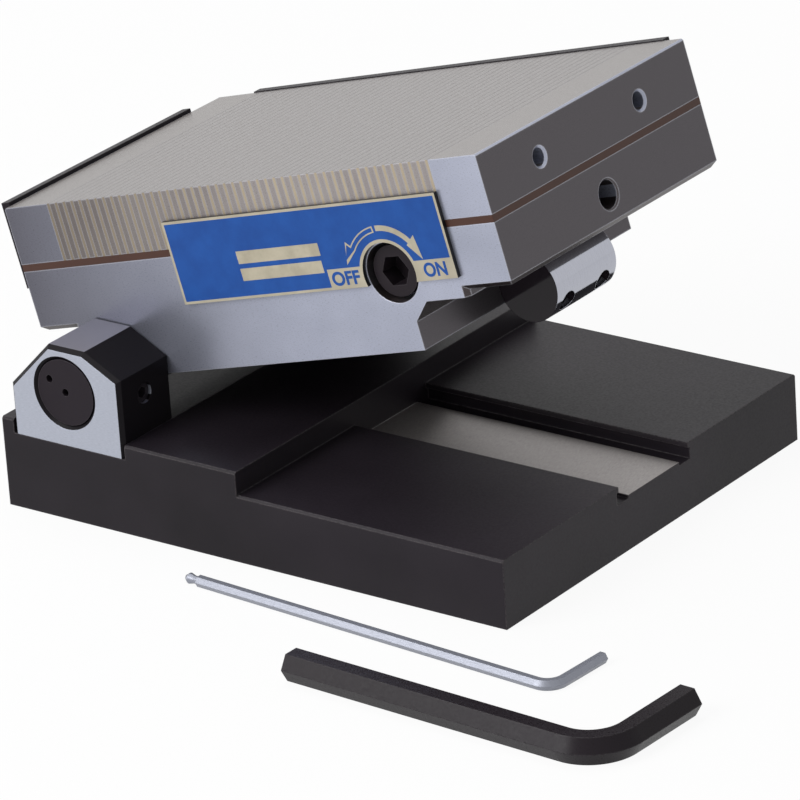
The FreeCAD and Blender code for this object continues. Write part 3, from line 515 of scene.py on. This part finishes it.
def dressAll():
    steel = groundSteel("groundCase")
    endSteel = groundSteel("groundEndBlock")
    brass = layerMetal("spacerBrass")
    black = blackOxide("blackenedStop")
    screw = blackOxide("blackenedScrew")
    looks = {
        "base_plate": baseMaterial(),
        "bearing_block_front": blockMaterial("blockFrontFinish", -1),
        "bearing_block_rear": blockMaterial("blockRearFinish", 1),
        "lock_pads": brass,
        "lock_screw_front": screw,
        "lock_screw_rear": screw,
        "hinge_pin": blackOxide("darkPin"),
        "sine_roller": polishedSteel("chromedRoller"),
        "case_body": steel,
        "separator_plate": layerMetal("separatorStrip"),
        "brass_spacers": brass,
        "pole_laminations": groundSteel("groundPole"),
        "end_block_left": endSteel,
        "end_block_right": endSteel,
        "nameplate": labelMetal(),
        "guide_rail_front": brass,
        "guide_rail_rear": brass,
        "magnet_carrier": groundSteel("carrierAluminium"),
        "magnets": blackOxide("ferrite"),
        "carrier_pole_plates": steel,
        "drive_shaft": blackOxide("darkDrive"),
        "left_stop": black,
        "back_stop": black,
        "stop_screws": screw,
        "magnet_key": blackOxide("blackenedKey"),
        "lock_key": polishedSteel("platedKey"),
    }
    for node, material in looks.items():
        dressNode(node, material)
    print("%d nodes dressed" % len(looks))
    return screw


def toMesh(name, work):
    mesh = bpy.data.meshes.new(name)
    work.to_mesh(mesh)
    work.free()
    return mesh


def finishPiece(name, mesh, material, body):
    # the place is in the mesh, so the object itself stays at the origin
    mesh.materials.clear()
    mesh.materials.append(material)
    piece = bpy.data.objects.new(name, mesh)
    bpy.context.scene.collection.objects.link(piece)
    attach(piece, body)


plateLow, plateHigh = levelBox("nameplate")
shaftLow, shaftHigh = levelBox("drive_shaft")
socketX = (shaftLow.x + shaftHigh.x) / 2
socketZ = (shaftLow.z + shaftHigh.z) / 2

labelPrint = {
    "border": 0.8 * mm, "thickness": 0.05 * mm, "proud": 0.02 * mm, "overprint": 0.03 * mm,
    "archRadius": 9.2 * mm, "archRing": 1.0 * mm, "archSteps": 24,
    "boxWidth": 11.5 * mm, "boxHeight": 6.0 * mm,
    "letterHeight": 4.1 * mm, "letterRise": 0.1 * mm, "letterExtrude": 0.02,
    "letterDepth": 1.5 * mm, "boldness": 0.03,
    "offWidth": 10.0 * mm, "offShift": 0.3 * mm, "onWidth": 8.0 * mm,
    "fields": [                                             # left, bottom, right, top
        (59.0 * mm, 26.4 * mm, 89.2 * mm, 30.1 * mm),
        (58.9 * mm, 21.4 * mm, 88.8 * mm, 25.0 * mm),
    ],
}
# Radii of the band and the head and angles are round the socket, and so is the tip's place.
arrows = {
    "steps": 10,
    "off": {
        "band": (12.3 * mm, 14.2 * mm), "start": 96, "end": 140,
        "head": (12.2 * mm, 16.3 * mm), "tip": (-13.8 * mm, 3.9 * mm),
    },
    "offMiddle": {
        "band": (12.7 * mm, 13.8 * mm), "start": 98, "end": 142,
        "head": (12.7 * mm, 15.5 * mm), "tip": (-13.7 * mm, 5.2 * mm),
    },
    "on": {
        "band": (12.6 * mm, 14.2 * mm), "start": 92, "end": 41,
        "head": (11.8 * mm, 15.9 * mm), "tip": (13.2 * mm, 3.3 * mm),
    },
}


def labelPiece(name, mesh, material):
    mesh.transform(levelToTilted)
    finishPiece(name, mesh, material, "chuck")


def flatPiece(name, points, y, material):
    # a printed field: its outline in X and Z, filled, with its thickness behind y
    work = bmesh.new()
    corners = [work.verts.new((x, y, z)) for x, z in points]
    edges = [work.edges.new((corner, corners[(i + 1) % len(corners)]))
             for i, corner in enumerate(corners)]
    bmesh.ops.triangle_fill(work, edges=edges, use_beauty=True, normal=(0, -1, 0))
    for face in work.faces:
        face.normal_update()
        if face.normal.y > 0:
            face.normal_flip()
    bmesh.ops.solidify(work, geom=work.faces[:], thickness=labelPrint["thickness"])
    bmesh.ops.recalc_face_normals(work, faces=work.faces)
    labelPiece(name, toMesh(name, work), material)


def roundSocket(radius, degrees):
    angle = math.radians(degrees)
    return socketX + radius * math.cos(angle), socketZ + radius * math.sin(angle)


def arc(radius, start, end, steps):
    return [roundSocket(radius, start + (end - start) * i / steps) for i in range(steps + 1)]


def arrow(band, start, end, head, tip):
    # a curved arrow, its tail at the start angle and its head at the end angle
    points = arc(band[1], start, end, arrows["steps"])
    points.append(roundSocket(head[1], end))
    points.append((socketX + tip[0], socketZ + tip[1]))
    points.append(roundSocket(head[0], end))
    return points + arc(band[0], end, start, arrows["steps"])


def letters(name, words, centreX, centreZ, width, y, material):
    # flat letters on the plate, made a mesh before they are stood up and placed
    writing = bpy.data.curves.new(name, "FONT")
    writing.body = words
    writing.extrude = labelPrint["letterExtrude"]
    writing.offset = labelPrint["boldness"]
    holder = bpy.data.objects.new(name, writing)
    mesh = bpy.data.meshes.new_from_object(holder)
    bpy.data.objects.remove(holder)
    across = [corner.co.x for corner in mesh.vertices]
    up = [corner.co.y for corner in mesh.vertices]
    mesh.transform(Matrix.Translation((-(min(across) + max(across)) / 2,
                                       -(min(up) + max(up)) / 2, 0)))
    mesh.transform(Matrix.Diagonal((width / (max(across) - min(across)),
                                    labelPrint["letterHeight"] / (max(up) - min(up)),
                                    labelPrint["letterDepth"], 1)))
    mesh.transform(Matrix.Rotation(math.radians(90), 4, "X"))
    mesh.transform(Matrix.Translation((centreX, y, centreZ)))
    labelPiece(name, mesh, material)


def makeLabel():
    ink = printInk("labelBlue", inkFinish["blue"], inkFinish["blueShade"])
    pale = printInk("labelPale", labelFinish["beige"], labelFinish["beigeShade"])
    border = labelPrint["border"]
    face = plateLow.y - labelPrint["proud"]
    overprint = face - labelPrint["overprint"]
    left, right = plateLow.x + border, plateHigh.x - border
    bottom, top = plateLow.z + border, plateHigh.z - border
    radius = labelPrint["archRadius"] + labelPrint["archRing"]
    boxTop = plateLow.z + labelPrint["boxHeight"]
    boxLeft = socketX - radius - labelPrint["boxWidth"]
    crossing = math.degrees(math.asin((boxTop - socketZ) / radius))
    outline = [(left, top), (left, bottom), (boxLeft, bottom), (boxLeft, boxTop)]
    outline += arc(radius, 180 - crossing, crossing, labelPrint["archSteps"])
    outline += [(right, boxTop), (right, top)]
    flatPiece("label_blue_field", outline, face, ink)
    for i, (low, floor, high, ceiling) in enumerate(labelPrint["fields"]):
        corners = [(low, floor), (high, floor), (high, ceiling), (low, ceiling)]
        flatPiece("label_blank_field_%d" % (i + 1), corners, overprint, pale)
    flatPiece("label_off_arrow", arrow(**arrows["off"]), overprint, pale)
    flatPiece("label_off_arrow_middle", arrow(**arrows["offMiddle"]),
              overprint - labelPrint["overprint"], ink)
    flatPiece("label_on_arrow", arrow(**arrows["on"]), overprint, pale)
    middle = (plateLow.z + boxTop) / 2 + labelPrint["letterRise"]
    offCentre = (boxLeft + socketX - radius) / 2 + labelPrint["offShift"]
    letters("label_off", "OFF", offCentre, middle, labelPrint["offWidth"], face, ink)
    onCentre = (right + socketX + radius) / 2
    letters("label_on", "ON", onCentre, middle, labelPrint["onWidth"], face, ink)
    print("label printed")


screwHeads = {
    "segments": 24, "bevel": 0.35 * mm, "bevelSegments": 2, "rimShare": 0.2,
    "blockHead": {"width": 9.6 * mm, "height": 5.8 * mm, "across": 5.0 * mm, "depth": 2.8 * mm},
    "blockPlaces": {"rise": 1.0 * mm, "pitch": 29.0 * mm},
    "rollerHead": {"width": 5.5 * mm, "height": 3.0 * mm, "across": 2.5 * mm, "depth": 1.5 * mm},
    "rollerPlaces": {"rise": 2.0 * mm, "pitch": 17.0 * mm, "lean": -50.0},
}


def extruded(work, faces, distance):
    # pulls faces up, leaving walls, and gives what was pulled
    grown = bmesh.ops.extrude_face_region(work, geom=faces)["geom"]
    bmesh.ops.translate(work, vec=(0, 0, distance),
                        verts=[item for item in grown if isinstance(item, bmesh.types.BMVert)])
    return grown


def socketHead(width, height, across, depth):
    # a cap screw's head, its top at the origin and facing up
    work = bmesh.new()
    bmesh.ops.create_circle(work, cap_ends=True, segments=screwHeads["segments"],
                            radius=width / 2)
    grown = extruded(work, work.faces[:], height)
    lid = [item for item in grown if isinstance(item, bmesh.types.BMFace)][0]
    bmesh.ops.bevel(work, geom=lid.edges[:], offset=screwHeads["bevel"],
                    segments=screwHeads["bevelSegments"], affect="EDGES", profile=0.5,
                    material=-1)
    lid = max(work.faces, key=lambda face: (round(face.calc_center_median().z, 7),
                                            face.calc_area()))
    bmesh.ops.inset_region(work, faces=[lid], thickness=screwHeads["rimShare"] * width,
                           use_even_offset=True)
    for corner in lid.verts:                      # the inner ring becomes a hexagon
        turn = math.atan2(corner.co.y, corner.co.x) % math.radians(60) - math.radians(30)
        reach = across / 2 / math.cos(turn) / math.hypot(corner.co.x, corner.co.y)
        corner.co.x *= reach
        corner.co.y *= reach
    extruded(work, [lid], -depth)
    bmesh.ops.translate(work, vec=(0, 0, -height), verts=work.verts)
    bmesh.ops.recalc_face_normals(work, faces=work.faces)
    return work


def placeHead(name, size, place, material, body):
    work = socketHead(**size)
    bmesh.ops.transform(work, matrix=place, verts=work.verts)
    finishPiece(name, toMesh(name, work), material, body)


def makeScrewHeads(material):
    places = screwHeads["blockPlaces"]
    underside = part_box("base_plate")[0].z
    down = Matrix.Rotation(math.pi, 4, "X")
    for block in ("bearing_block_front", "bearing_block_rear"):
        low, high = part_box(block)
        for i, side in enumerate((-1, 1)):
            head = Matrix.Translation((hinge.x + side * places["pitch"] / 2,
                                       (low.y + high.y) / 2, underside + places["rise"]))
            placeHead("%s_screw_%d" % (block, i + 1), screwHeads["blockHead"], head @ down,
                      material, "base")
    places = screwHeads["rollerPlaces"]
    low, high = levelBox("sine_roller")
    outward = Matrix.Rotation(math.radians(180 + places["lean"]), 4, "Y")
    reach = outward @ Vector((0, 0, (high.z - low.z) / 2 - places["rise"]))
    for i, side in enumerate((-1, 1)):
        along = Vector((0, side * places["pitch"] / 2, 0))
        head = Matrix.Translation((low + high) / 2 + along + reach)
        placeHead("roller_screw_%d" % (i + 1), screwHeads["rollerHead"],
                  levelToTilted @ head @ outward, material, "chuck")
    print("screw heads placed")


stage = {
    "floorSize": 8.0, "speck": (40.0, 3.0), "floorPale": 0.86, "floorShade": 0.84,
    "floorRoughness": 0.9, "floorGlow": 0.93, "worldLevel": 0.3, "seenLevel": 1.0,
}
lamps = {
    "key_lamp": {"place": (-0.7, -1.4, 1.1), "size": 1.1, "power": 27.0},
    "top_lamp": {"place": (-0.45, 0.25, 1.5), "size": 1.2, "power": 9.0},
}
lampAim = (0, 0, 0.05)


def plainRays(tree):
    # 1 for what the camera sees directly, in metal or through glass
    path = addNode(tree, "LightPath")
    seen = maths(tree, "MAXIMUM", path.outputs["Is Camera Ray"], path.outputs["Is Glossy Ray"])
    return maths(tree, "MAXIMUM", seen, path.outputs["Is Transmission Ray"])


def makeFloor():
    bpy.ops.mesh.primitive_plane_add(size=stage["floorSize"], location=(0, 0, 0))
    floor = bpy.context.object
    floor.name = "floor"
    material, tree, shader = newMaterial("paleFloor")
    speck = noise(tree, objectPlace(tree), *stage["speck"])
    link(tree, mixValue(tree, remap(tree, speck), stage["floorPale"], stage["floorShade"]),
         shader.inputs["Base Color"])
    shader.inputs["Roughness"].default_value = stage["floorRoughness"]
    glow = addNode(tree, "Emission")
    blend = addNode(tree, "MixShader")
    link(tree, maths(tree, "MULTIPLY", plainRays(tree), stage["floorGlow"]), blend.inputs[0])
    link(tree, shader.outputs[0], blend.inputs[1])
    link(tree, glow.outputs[0], blend.inputs[2])
    link(tree, blend.outputs[0], tree.nodes["Material Output"].inputs["Surface"])
    floor.data.materials.append(material)
    print("floor laid")


def makeWorld():
    world = bpy.data.worlds.new("studio")
    bpy.context.scene.world = world
    world.use_nodes = True
    background = world.node_tree.nodes["Background"]
    background.inputs["Color"].default_value = (1, 1, 1, 1)
    link(world.node_tree, mixValue(world.node_tree, plainRays(world.node_tree),
                                   stage["worldLevel"], stage["seenLevel"]),
         background.inputs["Strength"])
    print("world ready")


def makeLamps():
    for name, values in lamps.items():
        lamp = bpy.data.lights.new(name, "AREA")
        lamp.size = values["size"]
        lamp.energy = values["power"]
        holder = bpy.data.objects.new(name, lamp)
        bpy.context.scene.collection.objects.link(holder)
        holder.location = values["place"]
        aim = Vector(lampAim) - holder.location
        holder.rotation_euler = aim.to_track_quat("-Z", "Y").to_euler()
    print("%d lamps placed" % len(lamps))


cameraView = {
    "azimuth": 37.77, "elevation": 23.18, "roll": -3.94, "lens": 284.5, "sensor": 36.0,
    "target": (17.93 * mm, -23.03 * mm, 35.0 * mm), "distance": 1777.6 * mm, "clipEnd": 20.0,
}


def makeCamera():
    azimuth = math.radians(cameraView["azimuth"])
    elevation = math.radians(cameraView["elevation"])
    roll = math.radians(cameraView["roll"])
    back = Vector((math.sin(azimuth) * math.cos(elevation),
                   -math.cos(azimuth) * math.cos(elevation), math.sin(elevation)))
    right = Vector((math.cos(azimuth), math.sin(azimuth), 0))
    up = back.cross(right)
    turnedRight = right * math.cos(roll) + up * math.sin(roll)
    turnedUp = up * math.cos(roll) - right * math.sin(roll)
    data = bpy.data.cameras.new("camera")
    data.lens = cameraView["lens"]
    data.sensor_width = cameraView["sensor"]
    data.clip_end = cameraView["clipEnd"]
    camera = bpy.data.objects.new("camera", data)
    bpy.context.scene.collection.objects.link(camera)
    turn = Matrix((turnedRight, turnedUp, back)).transposed()
    place = Vector(cameraView["target"]) + back * cameraView["distance"]
    camera.matrix_world = Matrix.Translation(place) @ turn.to_4x4()
    bpy.context.scene.camera = camera
    print("camera placed")


screwMaterial = dressAll()
makeLabel()
makeScrewHeads(screwMaterial)
makeFloor()
makeWorld()
makeLamps()
makeCamera()
bpy.context.scene.view_settings.view_transform = "Standard"
print("scene ready")
